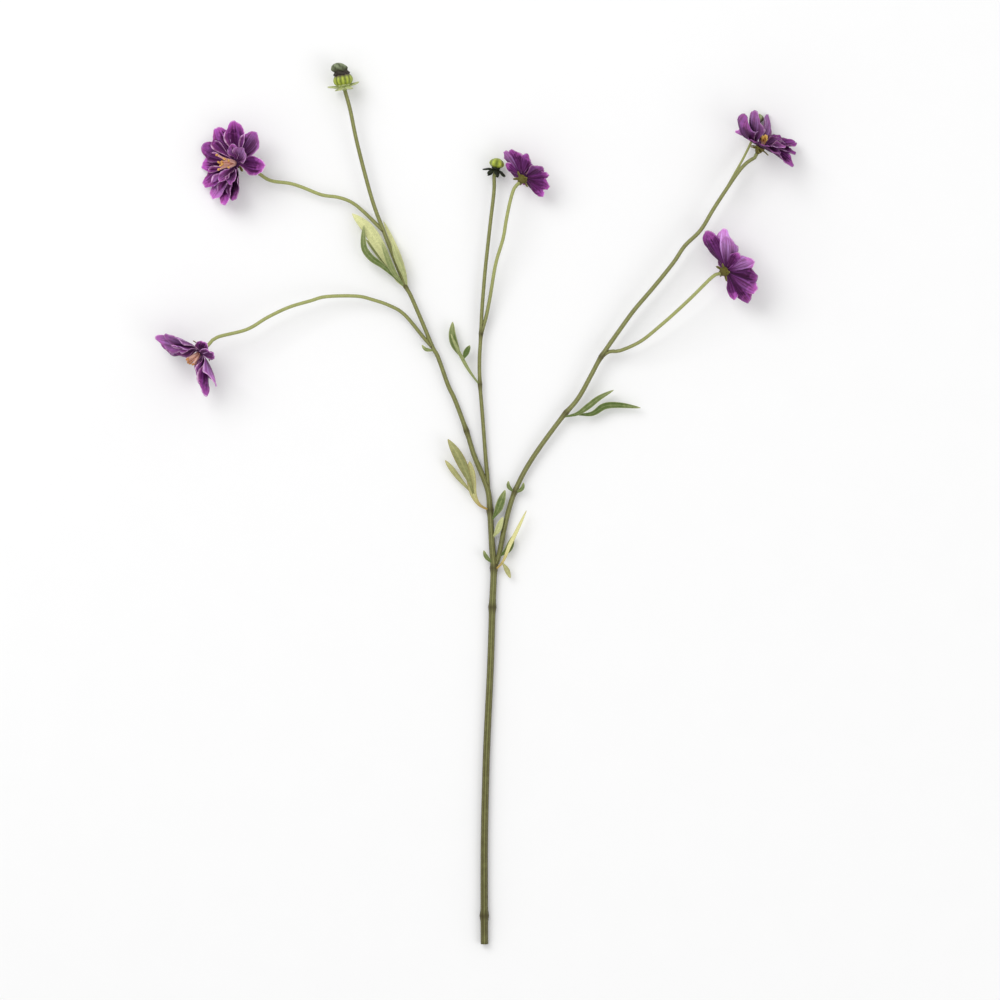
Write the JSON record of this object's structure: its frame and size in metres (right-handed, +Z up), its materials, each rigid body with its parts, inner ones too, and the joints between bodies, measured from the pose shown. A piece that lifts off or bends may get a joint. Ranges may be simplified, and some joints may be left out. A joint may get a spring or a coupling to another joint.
{
  "type": "cut flower stem",
  "caption": "Cut branching flower stem lying flat, with rings of rounded purple petals round golden stamens, round green buds and slender leaves.",
  "frame": {"origin": "on the surface the stem lies on, under the middle of its bounding box", "axes": "+Z up from the surface; +Y along the stem from the cut end to the blooms; +X to the right of the spray seen from above"},
  "size_m": [0.3833, 0.5279, 0.0362],
  "materials": {
    "stem": "matt fibrous green plant stem",
    "petals": "soft, thin, slightly silky purple petal",
    "stamens": "powdery golden anthers on pale threads",
    "calyx": "matt olive green plant skin",
    "bud": "smooth yellow-green bud skin",
    "bud_sepals": "matt dark green sepals",
    "leaf": "matt green leaf",
    "pale_leaf": "matt pale yellow-green leaf"
  },
  "bodies": {
    "root": {"stem": "stem", "petals_upper_left": "petals", "stamens_upper_left": "stamens", "calyx_upper_left": "calyx", "petals_lower_left": "petals", "stamens_lower_left": "stamens", "calyx_lower_left": "calyx", "petals_centre": "petals", "stamens_centre": "stamens", "calyx_centre": "calyx", "petals_upper_right": "petals", "stamens_upper_right": "stamens", "calyx_upper_right": "calyx", "petals_lower_right": "petals", "stamens_lower_right": "stamens", "calyx_lower_right": "calyx", "bud_left": "bud", "sepals_bud_left": "bud_sepals", "bud_centre": "bud", "sepals_bud_centre": "bud_sepals", "bud_right": "bud", "sepals_bud_right": "bud_sepals", "whorl_left": "pale_leaf", "whorl_right": "pale_leaf", "sprig_low_left": "pale_leaf", "leaf_low_right": "leaf", "leaf_crotch": "pale_leaf", "leaf_fork_right": "leaf", "leaf_fork_left": "leaf", "sprig_fork": "pale_leaf", "sprig_middle": "leaf", "sprig_right": "leaf", "bract_joint_right": "leaf", "bract_joint_left": "leaf", "bract_upper": "leaf"}
  },
  "joints": []
}
